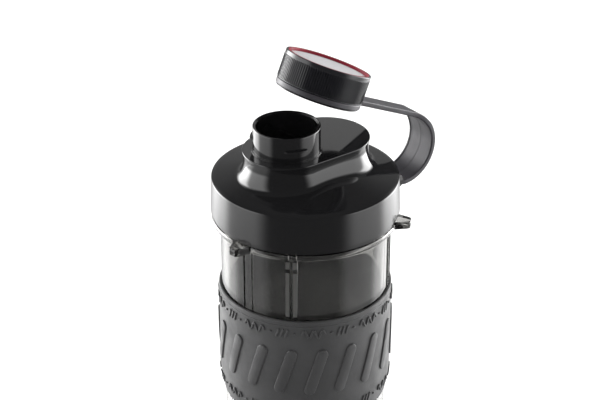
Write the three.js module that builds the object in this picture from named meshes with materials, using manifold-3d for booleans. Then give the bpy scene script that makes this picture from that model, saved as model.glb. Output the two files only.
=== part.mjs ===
// Shaker bottle with a screw lid, an off-centre drinking spout and a tethered cap.
// Millimetres, +Z up. Origin: centre of the jar's foot, on the surface it stands on.
// +X runs from the drinking spout across the lid to the strap's pin. The cap is open.
import * as THREE from "three";
import { mergeVertices } from "three/addons/utils/BufferGeometryUtils.js";
import Module from "manifold-3d";

const wasm = await Module();
wasm.setup();

// ---- driving dimensions ----
const GAP = 0.3; // between neighbouring pieces
const ROUND = 48; // facets on the large round pieces
const SMALL_ROUND = 40; // facets on the cap, ring and spout

const SHOULDER_Z = 172; // height of the lid's outer shoulder edge
const LID_R = 43; // shoulder edge radius
const SKIRT_R = 44; // skirt radius at its lower edge
const SKIRT_H = 17; // shoulder edge down to the skirt's lower edge
const LID_WALL = 2.1;
const SKIRT_INNER_R = 41.5;
const LIP_R = 43.2; // set-back lip under the skirt
const LIP_H = 1.9;
const CONE_SLOPE = 0.25; // rise of the lid's top per millimetre inwards

const PLATEAU_R = 20.3; // both ends of the raised deck
const PLATEAU_Z = 15.6; // deck height above the shoulder edge
const DECK_BACK_X = 11.8; // centre of the deck's rear end
const SPOUT_X = -10.6; // centre of the spout and of the deck's front end
const SPOUT_R = 15.45;
const SPOUT_BORE_R = 14.1;
const SPOUT_H = 12;
const SPOUT_STEP_R = 16.3; // ring round the spout's foot
const SPOUT_STEP_H = 1.5;
const LOCK_LUG = { reach: 16.75, low: 20.4, high: 22, sweep: 40, angles: [10, 130, 250] };

const JAR_R_TOP = 39.6; // under the flange
const JAR_R_LOW = 39.0; // under the sleeve
const JAR_R_FOOT = 37.2;
const JAR_INNER_R = 37.0;
const JAR_FLOOR_Z = 6;
const FOOT_ROUND = 6;
const BAND = { low: 59, high: 116.8, r: 38.3 }; // recess that holds the sleeve
const FLANGE = { low: 150, high: 152.8, r: 43.5 };
const NECK_R = 39.2;
const NECK_BORE_R = 36.6;
const NECK_TOP_Z = 166.5;
const BASE_LUG = { tipR: 49.6, tipHalf: 2.1, rootR: 42, rootHalf: 4.8, low: 149.2, high: 153 };
const BASE_LUG_ANGLES = [71.5, 191.5, 311.5];
const RIB_ANGLE = 32.3; // middle of a pair of ribs, measured from a base lug
const RIB_SPREAD = 2.4; // degrees from the middle of a pair to each rib
const RIB = { half: 1.05, proud: 0.9, low: 117.4 };
const FIN = { half: 0.4, proud: 0.5, spread: 3.5 }; // thin ribs under each base lug

const THREAD = { lead: 12, height: 1.4, jarSweep: 100, lidSweep: 40, lidStart: 50, drop: 2 };
const THREAD_START_Z = 156.5; // middle of a jar ridge at its low end
const THREAD_JAR_R = 40.7;
const THREAD_LID_R = 39.7;
const THREAD_ANGLES = [0, 120, 240];

const CAP_H = 16.6;
const CAP_R = 20.2; // smooth bands
const KNURL = { tip: 20.6, root: 20.15, low: 3.6, high: 14.8, teeth: 72 };
const CAP_BORE_R = 17.6;
const CAP_NECK_R = 18.6;
const CAP_LIP = { r: 19.5, h: 0.5 };
const CAP_WEB = { low: 12.5, high: 13.6 };
const CAP_TABS = { reach: 16.1, low: 0.7, high: 3.2, sweep: 40, angles: [70, 190, 310] };
const RING = { inner: 18.9, outer: 20.1, low: 0.8, high: 3.3 }; // strap ring round the cap
const CAP_REST = { x: 6.5, z: 36.84, tilt: 24 }; // middle of the cap's lower rim, from the shoulder edge

const STRAP_W = 17; // round the bend
const STRAP_ARM_W = 12.4; // from the cap's ring to the bend
const STRAP_T = 2.4;
const STRAP_TAB_X = 21.2; // end of the ring's tab, from the cap's axis
const STRAP_START = { x: 24.6, z: 32.3 }; // on the straight part's centre line, over the ring
const BEND = { x: 53.8, z: -1, r: 17 }; // round part of the strap
const PIN = { x: 47.9, z: -15.6, r: 1.5, half: 9.6 };
const EYE = { outer: 3.4, bore: 1.8, half: 7, clear: 5 }; // the strap is narrow within `clear` of the pin
const EAR = { inner: 7.3, outer: 9.8, r: 3.4, bore: 1.55 };

const rad = THREE.MathUtils.degToRad;

// ---- solids ----
function solid(geometry) {
  const bare = geometry.clone();
  bare.deleteAttribute("normal");
  bare.deleteAttribute("uv");
  const merged = mergeVertices(bare, 1e-4);
  const kept = [];
  const index = merged.index.array;
  for (let i = 0; i < index.length; i += 3) {
    const [a, b, c] = [index[i], index[i + 1], index[i + 2]];
    if (a !== b && b !== c && c !== a) kept.push(a, b, c);
  }
  const build = (triVerts) =>
    new wasm.Manifold(
      new wasm.Mesh({ numProp: 3, vertProperties: merged.attributes.position.array, triVerts }),
    );
  const made = build(new Uint32Array(kept));
  return made.volume() < 0 ? build(new Uint32Array(kept).reverse()) : made;
}

const join = (first, ...others) => others.reduce((a, b) => a.add(b), first);
const cut = (first, ...others) => others.reduce((a, b) => a.subtract(b), first);

function toMesh(name, made, material) {
  const data = made.getMesh();
  const geometry = new THREE.BufferGeometry();
  geometry.setAttribute("position", new THREE.BufferAttribute(data.vertProperties, 3));
  geometry.setIndex(new THREE.BufferAttribute(data.triVerts, 1));
  geometry.computeVertexNormals();
  const mesh = new THREE.Mesh(geometry, material);
  mesh.name = name;
  return mesh;
}

// A profile of [radius, height] points turned round Z.
function lathe(profile, segments = ROUND) {
  const points = profile.map(([r, z]) => new THREE.Vector2(r, z));
  return solid(new THREE.LatheGeometry(points, segments).rotateX(Math.PI / 2));
}

function ring(inner, outer, low, high, segments = SMALL_ROUND) {
  return lathe([[inner, low], [outer, low], [outer, high], [inner, high], [inner, low]], segments);
}

function disc(r, low, high, segments = SMALL_ROUND) {
  return lathe([[0, low], [r, low], [r, high], [0, high]], segments);
}

function block(x0, x1, y0, y1, z0, z1) {
  const box = new THREE.BoxGeometry(x1 - x0, y1 - y0, z1 - z0);
  return solid(box.translate((x0 + x1) / 2, (y0 + y1) / 2, (z0 + z1) / 2));
}

// A cylinder along Y.
function barrel(x, z, r, half, segments = 32) {
  return solid(new THREE.CylinderGeometry(r, r, 2 * half, segments).translate(x, 0, z));
}

// Rings of equally many points, lowest first, closed by a flat cap at each end.
function loft(rings) {
  const n = rings[0].length;
  const position = rings.flat().flatMap((p) => [p.x, p.y, p.z]);
  const index = [];
  for (let k = 0; k + 1 < rings.length; k++)
    for (let i = 0; i < n; i++) {
      const a = k * n + i;
      const b = k * n + ((i + 1) % n);
      index.push(a, b, b + n, a, b + n, a + n);
    }
  const top = (rings.length - 1) * n;
  for (let i = 1; i + 1 < n; i++) index.push(0, i + 1, i, top, top + i, top + i + 1);
  const geometry = new THREE.BufferGeometry();
  geometry.setAttribute("position", new THREE.Float32BufferAttribute(position, 3));
  geometry.setIndex(index);
  return solid(geometry);
}

// One helical ridge on a wall of radius wallR, out or in to reachR.
function ridge(wallR, reachR, startAngle, sweep, startZ, height, lead, steps = 10) {
  const into = Math.sign(wallR - reachR) * 0.4; // depth that the ridge is sunk in its wall
  const section = [
    [wallR + into, -height / 2],
    [reachR, -height / 4],
    [reachR, height / 4],
    [wallR + into, height / 2],
  ];
  const rings = [];
  for (let i = 0; i <= steps; i++) {
    const turn = (sweep * i) / steps;
    const angle = rad(startAngle + turn);
    const z = startZ + (lead * turn) / 360;
    rings.push(
      section.map(([r, dz]) => new THREE.Vector3(r * Math.cos(angle), r * Math.sin(angle), z + dz)),
    );
  }
  return loft(rings);
}

function levelRidge(wallR, reachR, middleAngle, sweep, low, high) {
  return ridge(wallR, reachR, middleAngle - sweep / 2, sweep, (low + high) / 2, high - low, 0, 8);
}

// ---- materials ----
const finish = (color, roughness, metalness = 0, opacity = 1) =>
  new THREE.MeshStandardMaterial({ color, roughness, metalness, opacity, transparent: opacity < 1 });
const GLOSS_BLACK = finish(0x151516, 0.12);
const SMOKE = finish(0x4c4b49, 0.08, 0, 0.45);
const GREY_SILICONE = finish(0x4a4a4b, 0.75);
const CHARCOAL = finish(0x29292b, 0.42);
const RUBBER = finish(0x4a484c, 0.48);
const SILVER = finish(0xc9c9c9, 0.4, 0.3);
const RED = finish(0x7a1120, 0.3, 0.4);
const SEAL = finish(0xb9b9b6, 0.7);
const STEEL = finish(0x9c9da0, 0.3, 0.9);
const SCREEN = finish(0x2b2b2d, 0.35);

// ---- jar and sleeve ----
function makeJar() {
  const flangeRoot = FLANGE.low - 2.5;
  const wall = lathe([
    [0, 0],
    [JAR_R_FOOT - FOOT_ROUND * 0.55, 0],
    [JAR_R_FOOT - FOOT_ROUND * 0.2, FOOT_ROUND * 0.3],
    [JAR_R_FOOT, FOOT_ROUND],
    [JAR_R_LOW, BAND.low - 0.6],
    [BAND.r, BAND.low],
    [BAND.r, BAND.high],
    [JAR_R_TOP, BAND.high],
    [JAR_R_TOP, flangeRoot],
    [JAR_R_TOP + 0.7, FLANGE.low],
    [FLANGE.r, FLANGE.low],
    [FLANGE.r, FLANGE.high],
    [NECK_R, FLANGE.high],
    [NECK_R, NECK_TOP_Z],
    [NECK_BORE_R, NECK_TOP_Z],
    [NECK_BORE_R, FLANGE.low],
    [JAR_INNER_R, flangeRoot],
    [JAR_INNER_R - 1, BAND.low],
    [JAR_INNER_R - 2, JAR_FLOOR_Z + 4],
    [JAR_INNER_R - 6, JAR_FLOOR_Z],
    [0, JAR_FLOOR_Z],
  ]);
  const added = [];
  for (const lug of BASE_LUG_ANGLES) {
    added.push(baseLug(lug));
    for (const side of [-1, 1]) {
      added.push(upright(lug + RIB_ANGLE + side * RIB_SPREAD, RIB.half, RIB.proud));
      added.push(upright(lug + side * FIN.spread, FIN.half, FIN.proud));
    }
  }
  for (const start of THREAD_ANGLES)
    added.push(
      ridge(NECK_R, THREAD_JAR_R, start, THREAD.jarSweep, THREAD_START_Z, THREAD.height, THREAD.lead, 16),
    );
  return toMesh("jar", join(wall, ...added), SMOKE);
}

// Wedge-shaped lug that stands out of the flange.
function baseLug(angle) {
  const { tipR, tipHalf, rootR, rootHalf, low, high } = BASE_LUG;
  const outline = new THREE.Shape();
  outline.moveTo(rootR, -rootHalf);
  outline.lineTo(tipR, -tipHalf);
  outline.lineTo(tipR, tipHalf);
  outline.lineTo(rootR, rootHalf);
  outline.closePath();
  const prism = new THREE.ExtrudeGeometry(outline, { depth: high - low, bevelEnabled: false });
  return solid(prism.translate(0, 0, low).rotateZ(rad(angle)));
}

// Rib that runs down the jar's wall from the flange to the sleeve.
function upright(angle, half, proud) {
  const sunk = 1;
  const height = FLANGE.low + 0.5 - RIB.low;
  const box = new THREE.BoxGeometry(proud + sunk, 2 * half, height);
  box.translate(JAR_R_TOP + (proud - sunk) / 2, 0, RIB.low + height / 2);
  return solid(box.rotateZ(rad(angle)));
}

function makeSleeve() {
  const inner = BAND.r + GAP;
  const low = BAND.low + GAP;
  const high = BAND.high - GAP;
  const r = 40.9;
  const profile = [
    [inner, low],
    [inner + 0.5, low],
    [r - 1.1, low + 2.6],
    [r - 0.4, low + 6.5],
    [r, low + 14],
    [r, high - 1.2],
    [r - 0.5, high],
    [inner, high],
    [inner, low],
  ];
  return toMesh("sleeve", lathe(profile), GREY_SILICONE);
}

// ---- lid, in a group whose zero height is the shoulder edge ----
// Outline of the raised deck, grown by `grow`; heightOf gives each point's height.
function deckRing(grow, heightOf, half = 16) {
  const points = [];
  for (const [centre, from] of [[DECK_BACK_X, -90], [SPOUT_X, 90]])
    for (let i = 0; i <= half; i++) {
      const angle = rad(from + (180 * i) / half);
      const r = PLATEAU_R + grow;
      const point = new THREE.Vector3(centre + r * Math.cos(angle), r * Math.sin(angle), 0);
      point.z = heightOf(point);
      points.push(point);
    }
  return points;
}

// Height of the lid's conical top under a point.
const coneHeight = (point) => CONE_SLOPE * (LID_R - Math.hypot(point.x, point.y));

function makeLid() {
  const coneTop = CONE_SLOPE * LID_R;
  const outside = lathe([
    [0, -SKIRT_H - LIP_H],
    [LIP_R, -SKIRT_H - LIP_H],
    [LIP_R, -SKIRT_H],
    [SKIRT_R, -SKIRT_H],
    [LID_R + 0.15, -1],
    [LID_R - 0.9, CONE_SLOPE * 0.6],
    [0, coneTop],
  ]);
  // How far the deck's waisted side stands out, by its share of the height above the cone.
  const waist = [[2.7, -0.06], [1.2, 0.1], [0.2, 0.27], [-0.5, 0.48], [-0.6, 0.68], [0, 0.96], [-0.3, 1]];
  const rise = (share) => (point) => coneHeight(point) * (1 - share) + PLATEAU_Z * share;
  const deck = loft(waist.map(([grow, share]) => deckRing(grow, rise(share))));
  const spout = disc(SPOUT_R, PLATEAU_Z - 1, PLATEAU_Z + SPOUT_H).translate([SPOUT_X, 0, 0]);
  const step = disc(SPOUT_STEP_R, PLATEAU_Z - 1, PLATEAU_Z + SPOUT_STEP_H).translate([SPOUT_X, 0, 0]);
  const lockLugs = LOCK_LUG.angles.map((angle) =>
    levelRidge(SPOUT_R, LOCK_LUG.reach, angle, LOCK_LUG.sweep, LOCK_LUG.low, LOCK_LUG.high).translate([
      SPOUT_X, 0, 0,
    ]),
  );
  const body = join(outside, deck, spout, step, ...lockLugs, ...ears());
  const seat = -LID_WALL;
  const landR = 36.2; // inner edge of the land that presses the gasket
  const inside = lathe([
    [0, -SKIRT_H - LIP_H - 1],
    [SKIRT_INNER_R, -SKIRT_H - LIP_H - 1],
    [SKIRT_INNER_R, seat],
    [landR, seat],
    [landR, CONE_SLOPE * (LID_R - landR) - 2.2],
    [0, coneTop - 2.4],
  ]);
  const deckInside = loft(
    [[-1.4, -1], [-3, 8], [-3, PLATEAU_Z - 2.2]].map(([grow, z]) => deckRing(grow, () => z)),
  );
  const bore = disc(SPOUT_BORE_R, 5, PLATEAU_Z + SPOUT_H + 1).translate([SPOUT_X, 0, 0]);
  const hollow = cut(body, inside, deckInside, bore);
  const startZ = THREAD_START_Z - SHOULDER_Z - THREAD.drop + (THREAD.lead * THREAD.lidStart) / 360;
  const threads = THREAD_ANGLES.map((start) =>
    ridge(SKIRT_INNER_R, THREAD_LID_R, start + THREAD.lidStart, THREAD.lidSweep, startZ,
      THREAD.height, THREAD.lead, 8),
  );
  return toMesh("lid_shell", join(hollow, ...threads), GLOSS_BLACK);
}

// Two ears on the rear of the skirt that hold the strap's pin.
function ears() {
  const whole = join(
    barrel(PIN.x, PIN.z, EAR.r, EAR.outer),
    block(SKIRT_INNER_R - 0.2, PIN.x, -EAR.outer, EAR.outer, PIN.z - EAR.r, PIN.z + EAR.r),
  );
  const slotStart = SKIRT_R - 0.6;
  const slot = block(slotStart, PIN.x + EAR.r + 1, -EAR.inner, EAR.inner, PIN.z - 6, PIN.z + 6);
  const wallCut = lathe([[0, -30], [SKIRT_R - 1, -30], [SKIRT_R - 1, 5], [0, 5]]);
  return [cut(whole, slot, barrel(PIN.x, PIN.z, EAR.bore + 0.05, EAR.outer + 1), wallCut)];
}

function makePin() {
  return toMesh("strap_pin", barrel(PIN.x, PIN.z, PIN.r, PIN.half), STEEL);
}

function makeGasket() {
  const low = NECK_TOP_Z - SHOULDER_Z + 2 * GAP + 1;
  return toMesh("lid_gasket", ring(36.9, 38.9, low, -LID_WALL - GAP, ROUND), SEAL);
}

// Basket with round holes that hangs on the jar's rim under the gasket.
function makeScreen() {
  const rim = NECK_TOP_Z - SHOULDER_Z + GAP;
  const floor = rim - 9;
  const wallR = NECK_BORE_R - 0.5;
  const basket = lathe([
    [0, floor], [wallR, floor], [wallR, rim], [38.9, rim], [38.9, rim + 1],
    [wallR - 1.2, rim + 1], [wallR - 1.2, floor + 1.4], [0, floor + 1.4],
  ]);
  const holes = [];
  for (const [count, r] of [[1, 0], [6, 12], [12, 25]])
    for (let i = 0; i < count; i++) {
      const angle = (2 * Math.PI * i) / count;
      const hole = new THREE.CylinderGeometry(4.2, 4.2, 5, 8).rotateX(Math.PI / 2);
      holes.push(solid(hole.translate(r * Math.cos(angle), r * Math.sin(angle), floor + 0.7)));
    }
  return toMesh("mixing_screen", cut(basket, ...holes), SCREEN);
}

// ---- cap, in a group whose zero is the middle of the cap's lower rim ----
function makeCap() {
  const outside = lathe([
    [0, 0],
    [CAP_LIP.r, 0],
    [CAP_LIP.r, CAP_LIP.h],
    [CAP_NECK_R, CAP_LIP.h],
    [CAP_NECK_R, KNURL.low],
    [CAP_R, KNURL.low],
    [CAP_R, CAP_H - 0.7],
    [CAP_R - 0.4, CAP_H],
    [0, CAP_H],
  ], SMALL_ROUND);
  const knurl = cut(knurlSleeve(), disc(CAP_R - 0.8, 0, CAP_H));
  const bore = disc(CAP_BORE_R, -1, CAP_WEB.low);
  const pocket = disc(19.75, CAP_WEB.high, CAP_H + 1);
  const tabs = CAP_TABS.angles.map((angle) =>
    levelRidge(CAP_BORE_R, CAP_TABS.reach, angle, CAP_TABS.sweep, CAP_TABS.low, CAP_TABS.high),
  );
  const shell = cut(join(outside, knurl), bore, pocket);
  return toMesh("cap_shell", join(shell, ...tabs), CHARCOAL);
}

function knurlSleeve() {
  const outline = new THREE.Shape();
  const count = 2 * KNURL.teeth;
  for (let i = 0; i < count; i++) {
    const angle = (2 * Math.PI * i) / count;
    const r = i % 2 ? KNURL.root : KNURL.tip;
    const point = [r * Math.cos(angle), r * Math.sin(angle)];
    if (i) outline.lineTo(...point);
    else outline.moveTo(...point);
  }
  outline.closePath();
  const depth = KNURL.high - KNURL.low;
  return solid(new THREE.ExtrudeGeometry(outline, { depth, bevelEnabled: false }).translate(0, 0, KNURL.low));
}

function makeDisc() {
  return toMesh("cap_disc", disc(18.4, CAP_WEB.high + GAP, CAP_H - 1.6), SILVER);
}

function makeAccentRing() {
  return toMesh("cap_accent_ring", ring(18.7, 19.45, CAP_WEB.high + GAP, CAP_H - 0.1), RED);
}

// Soft liner with a plug that enters the spout's bore.
function makeCapSeal() {
  const high = CAP_WEB.low - GAP;
  const plug = SPOUT_BORE_R - 0.4;
  const profile = [
    [0, high - 1], [plug - 1.6, high - 1], [plug - 1.4, high - 3.6], [plug - 0.2, high - 3.6],
    [plug, high - 1], [CAP_BORE_R - 0.4, high - 1], [CAP_BORE_R - 0.4, high], [0, high],
  ];
  return toMesh("cap_seal", lathe(profile, SMALL_ROUND), SEAL);
}

function makeStrapRing() {
  const hoop = ring(RING.inner, RING.outer, RING.low, RING.high);
  const tab = block(16, STRAP_TAB_X, -STRAP_ARM_W / 2, STRAP_ARM_W / 2, RING.low, RING.high);
  const hole = disc(RING.inner + 0.4, RING.low - 1, RING.high + 1);
  return toMesh("strap_ring", join(hoop, cut(tab, hole)), RUBBER);
}

// ---- strap, in the lid's group ----
// Where the straight part of the strap runs into its round part.
function strapTangent() {
  const dx = BEND.x - STRAP_START.x;
  const dz = BEND.z - STRAP_START.z;
  const far = Math.hypot(dx, dz);
  const angle = Math.atan2(dz, dx) + Math.asin(BEND.r / far);
  const length = Math.sqrt(far * far - BEND.r * BEND.r);
  const along = new THREE.Vector2(Math.cos(angle), Math.sin(angle));
  const start = new THREE.Vector2(STRAP_START.x, STRAP_START.z);
  return { along, end: start.clone().addScaledVector(along, length), angle };
}

// An outline in the X-Z plane, made into a solid of a given width along Y.
function strapSolid(points, width) {
  const shape = new THREE.Shape(points);
  const slab = new THREE.ExtrudeGeometry(shape, { depth: width, bevelEnabled: false });
  return solid(slab.rotateX(Math.PI / 2).translate(0, width / 2, 0));
}

function makeStrapArm() {
  const { along, end } = strapTangent();
  const across = new THREE.Vector2(-along.y, along.x).multiplyScalar(STRAP_T / 2);
  const tilt = rad(CAP_REST.tilt);
  const reach = STRAP_TAB_X + GAP; // distance from the cap's axis where the arm starts
  const onRing = new THREE.Vector2(CAP_REST.x, CAP_REST.z)
    .add(new THREE.Vector2(Math.cos(tilt), -Math.sin(tilt)).multiplyScalar(reach));
  const start = new THREE.Vector2(STRAP_START.x, STRAP_START.z);
  const skip = onRing.clone().sub(start).dot(along) + 1.2;
  const from = start.clone().addScaledVector(along, skip);
  const to = end.clone().addScaledVector(along, -GAP / 2);
  const corners = [
    from.clone().sub(across), to.clone().sub(across), to.clone().add(across), from.clone().add(across),
  ];
  return toMesh("strap_arm", strapSolid(corners, STRAP_ARM_W), RUBBER);
}

// Round part of the strap and the eye that turns on the pin.
function makeStrapLoop() {
  const { angle } = strapTangent();
  const low = -Math.PI / 2;
  const high = angle + Math.PI / 2 - GAP / 2 / BEND.r;
  const steps = 22;
  const arc = (r) =>
    Array.from({ length: steps + 1 }, (_, i) => {
      const a = low + ((high - low) * i) / steps;
      return new THREE.Vector2(BEND.x + r * Math.cos(a), BEND.z + r * Math.sin(a));
    });
  const outer = arc(BEND.r + STRAP_T / 2);
  const inner = arc(BEND.r - STRAP_T / 2).reverse();
  const foot = [
    new THREE.Vector2(PIN.x, BEND.z - BEND.r + STRAP_T / 2),
    new THREE.Vector2(PIN.x, BEND.z - BEND.r - STRAP_T / 2),
  ];
  const band = strapSolid([...outer, ...inner, ...foot], STRAP_W);
  const eye = barrel(PIN.x, PIN.z, EYE.outer, EYE.half);
  const bore = barrel(PIN.x, PIN.z, EYE.bore, STRAP_W);
  const clear = barrel(PIN.x, PIN.z, EYE.clear, STRAP_W / 2 + 1);
  const keep = block(PIN.x - 9, PIN.x + 9, -EYE.half, EYE.half, PIN.z - 9, PIN.z + 9);
  return toMesh("strap_loop", cut(join(band, eye), bore, cut(clear, keep)), RUBBER);
}

// ---- assembly ----
const bottle = new THREE.Group();
bottle.add(makeJar(), makeSleeve());

const lid = new THREE.Group();
lid.position.z = SHOULDER_Z;
lid.add(makeLid(), makeGasket(), makeScreen(), makePin(), makeStrapLoop(), makeStrapArm());
bottle.add(lid);

const cap = new THREE.Group();
cap.position.set(CAP_REST.x, 0, CAP_REST.z);
cap.rotation.y = rad(CAP_REST.tilt);
cap.add(makeCap(), makeDisc(), makeAccentRing(), makeCapSeal(), makeStrapRing());
lid.add(cap);

export default bottle;
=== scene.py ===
# Shaker bottle with a screw lid, an off-centre drinking spout and a tethered cap, shown open.
# Lengths in the making of shapes are millimetres in the part's own frame: +Z up, origin under the
# jar's foot, +X from the spout across the lid to the strap's pin. MM turns them into metres.
from math import asin, atan2, cos, degrees, hypot, pi, radians, sin, sqrt, tan

import bpy
from mathutils import Matrix, Vector


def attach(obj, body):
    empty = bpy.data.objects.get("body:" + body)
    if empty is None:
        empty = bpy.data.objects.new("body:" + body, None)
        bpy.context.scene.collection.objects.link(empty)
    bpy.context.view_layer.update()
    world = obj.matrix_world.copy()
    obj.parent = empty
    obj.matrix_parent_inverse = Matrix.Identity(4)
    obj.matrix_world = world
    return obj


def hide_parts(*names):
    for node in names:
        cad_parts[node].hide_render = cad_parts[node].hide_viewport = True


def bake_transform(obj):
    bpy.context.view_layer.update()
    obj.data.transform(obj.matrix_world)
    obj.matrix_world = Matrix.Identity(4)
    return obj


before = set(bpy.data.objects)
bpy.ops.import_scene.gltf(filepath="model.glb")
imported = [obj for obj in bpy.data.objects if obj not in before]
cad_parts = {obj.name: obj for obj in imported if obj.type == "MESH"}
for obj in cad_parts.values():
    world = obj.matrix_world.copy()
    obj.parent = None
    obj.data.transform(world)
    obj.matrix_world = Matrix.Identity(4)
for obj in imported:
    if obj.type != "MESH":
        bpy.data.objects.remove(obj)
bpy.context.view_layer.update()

MM = 0.001
FINE = 192  # facets round the large pieces
SMALL = 144  # facets round the pieces in the cap and the strap's hoop

# ---- sizes that several pieces share ----
AXIS_R = 0.02  # radius of the rings that close a turned piece on its axis
SHOULDER_Z = 172.0  # where the lid's cone meets its skirt
JAR_R = 39.6
FLANGE_LOW, FLANGE_HIGH, FLANGE_R = 150.0, 152.8, 43.5
LUG_LOW, LUG_HIGH = 149.2, 153.0
NECK_R, NECK_BORE_R, NECK_TOP = 39.2, 36.6, 166.5
SLEEVE_LOW, SLEEVE_HIGH, SLEEVE_R = 59.3, 116.5, 40.9
LUG_ANGLES = (71.5, 191.5, 311.5)
RIB_OFFSET = 32.3  # degrees from a base lug to the middle of its pair of ribs
RIB_SPREAD = 2.4  # degrees from that middle to each rib
FIN_SPREAD = 3.5  # degrees from a base lug to each fin under it
RIB_HALF, FIN_HALF = 1.05, 0.4
RIBS = [lug + RIB_OFFSET + side * RIB_SPREAD for lug in LUG_ANGLES for side in (-1, 1)]
FINS = [lug + side * FIN_SPREAD for lug in LUG_ANGLES for side in (-1, 1)]
THREAD_STARTS, THREAD_Z, THREAD_LEAD = (0, 120, 240), 156.5, 12.0
SKIRT_R, SKIRT_BORE_R, SKIRT_LOW = 44.0, 41.5, -18.9
CONE_R, CONE_SLOPE, CONE_WALL = 43.0, 0.25, 2.3
DECK_R, DECK_Z, DECK_BACK_X = 20.3, 15.6, 11.8
SPOUT_X, SPOUT_R, SPOUT_BORE_R, SPOUT_H = -10.6, 15.45, 14.1, 12.0
CAP_ORIGIN, CAP_TILT, CAP_H = (6.5, 0.0, SHOULDER_Z + 36.84), 24.0, 16.6
PIN_X, PIN_Z = 47.9, SHOULDER_Z - 15.6
BEND_X, BEND_Z, BEND_R = 53.8, SHOULDER_Z - 1.0, 17.0
STRAP_W, STRAP_ARM_W, STRAP_T = 17.0, 12.4, 2.4
EYE_HALF = 7.0  # half the width of the strap's eye, between the lid's ears


# ---- mesh building ----
def new_object(name, points, faces, smooth_angle=32.0):
    """A mesh object from points in millimetres, smooth except where its faces meet sharply."""
    mesh = bpy.data.meshes.new(name)
    mesh.from_pydata([Vector(p) * MM for p in points], [], faces)
    mesh.validate()
    mesh.shade_smooth()
    mesh.set_sharp_from_angle(angle=radians(smooth_angle))
    obj = bpy.data.objects.new(name, mesh)
    bpy.context.scene.collection.objects.link(obj)
    return obj


def rounded(corners, arc=5, margin=0.25):
    """Points (r, z, radius) to a line whose corners are arcs, each with a support point on both sides."""
    line = []
    for k, (r, z, radius) in enumerate(corners):
        here = Vector((r, z))
        if not radius or k in (0, len(corners) - 1):
            line.append((r, z))
            continue
        back = Vector(corners[k - 1][:2]) - here
        ahead = Vector(corners[k + 1][:2]) - here
        turn = back.angle(ahead)
        reach = min(radius / tan(turn / 2), 0.45 * back.length, 0.45 * ahead.length)
        radius = reach * tan(turn / 2)
        back.normalize()
        ahead.normalize()
        middle = here + (back + ahead).normalized() * (radius / sin(turn / 2))
        first = here + back * reach
        last = here + ahead * reach
        a0 = atan2(first.y - middle.y, first.x - middle.x)
        a1 = atan2(last.y - middle.y, last.x - middle.x)
        sweep = (a1 - a0 + pi) % (2 * pi) - pi
        steps = [a0 + sweep * i / arc for i in range(arc + 1)]
        line.append(tuple(first + back * min(margin, reach)))
        line += [(middle.x + radius * cos(a), middle.y + radius * sin(a)) for a in steps]
        line.append(tuple(last + ahead * min(margin, reach)))
    return line


def tube_faces(n, count, closed=False, base=0):
    """Faces between count rings of n points each: closed on itself, or with both ends filled."""
    faces = []
    for k in range(count if closed else count - 1):
        a = base + k * n
        b = base + (k + 1) % count * n
        faces += [(a + i, a + (i + 1) % n, b + (i + 1) % n, b + i) for i in range(n)]
    if not closed:
        faces.append(tuple(base + i for i in reversed(range(n))))
        faces.append(tuple(base + (count - 1) * n + i for i in range(n)))
    return faces


def skin(name, rings, closed=False, sharp=32.0):
    """Rings of equally many points joined by faces."""
    points = [p for ring in rings for p in ring]
    return new_object(name, points, tube_faces(len(rings[0]), len(rings), closed), sharp)


def circle(r, z, count=FINE):
    """A ring of points round Z."""
    return [(r * cos(2 * pi * i / count), r * sin(2 * pi * i / count), z) for i in range(count)]


def turned(name, line, count=FINE, closed=True):
    """A profile line of (r, z) turned round Z; a closed one ends where it starts."""
    return skin(name, [circle(max(r, AXIS_R), z, count) for r, z in line], closed)


def join(name, *objects):
    """The first object takes the others' meshes in."""
    bpy.ops.object.select_all(action="DESELECT")
    for obj in objects:
        obj.select_set(True)
    bpy.context.view_layer.objects.active = objects[0]
    bpy.ops.object.join()
    objects[0].name = name
    return objects[0]


def place(obj, matrix):
    """Moves the mesh itself, so that the object stays at the origin."""
    obj.data.transform(matrix)
    obj.data.update()
    return obj


CAP_PLACE = Matrix.Translation(Vector(CAP_ORIGIN) * MM) @ Matrix.Rotation(radians(CAP_TILT), 4, "Y")
PIN_PLACE = Matrix.Translation(Vector((PIN_X, 0, PIN_Z)) * MM) @ Matrix.Rotation(pi / 2, 4, "X")


def dress(obj, body, material, slot, *nodes):
    """Puts a finished piece in the frame: its body, its material and the CAD nodes that it stands for."""
    obj.data.materials.clear()
    obj.data.materials.append(material)
    if body:
        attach(obj, body)
    if nodes:
        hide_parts(*nodes)
    return obj


def ease(x):
    """A smooth step from 0 to 1."""
    x = min(1.0, max(0.0, x))
    return x * x * (3 - 2 * x)


# ---- materials ----
NOISE_LOW, NOISE_HIGH = 0.3, 0.7  # a noise's values mostly lie between these


def new_material(name, color, roughness, **sockets):
    """A Principled material; other sockets are set by name, with _ for each space."""
    material = bpy.data.materials.new(name)
    material.use_nodes = True
    shader = material.node_tree.nodes["Principled BSDF"]
    shader.inputs["Base Color"].default_value = (*color, 1)
    shader.inputs["Roughness"].default_value = roughness
    for socket, value in sockets.items():
        shader.inputs[socket.replace("_", " ")].default_value = value
    return material


def add_node(material, kind, **values):
    """A new shader node with its own settings."""
    node = material.node_tree.nodes.new(kind)
    for key, value in values.items():
        setattr(node, key, value)
    return node


def coordinates(material, scale=(1, 1, 1)):
    """Object coordinates in metres, stretched by scale."""
    links = material.node_tree.links
    source = add_node(material, "ShaderNodeTexCoord")
    mapping = add_node(material, "ShaderNodeMapping")
    mapping.inputs["Scale"].default_value = scale
    links.new(source.outputs["Object"], mapping.inputs["Vector"])
    return mapping.outputs["Vector"]


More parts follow.
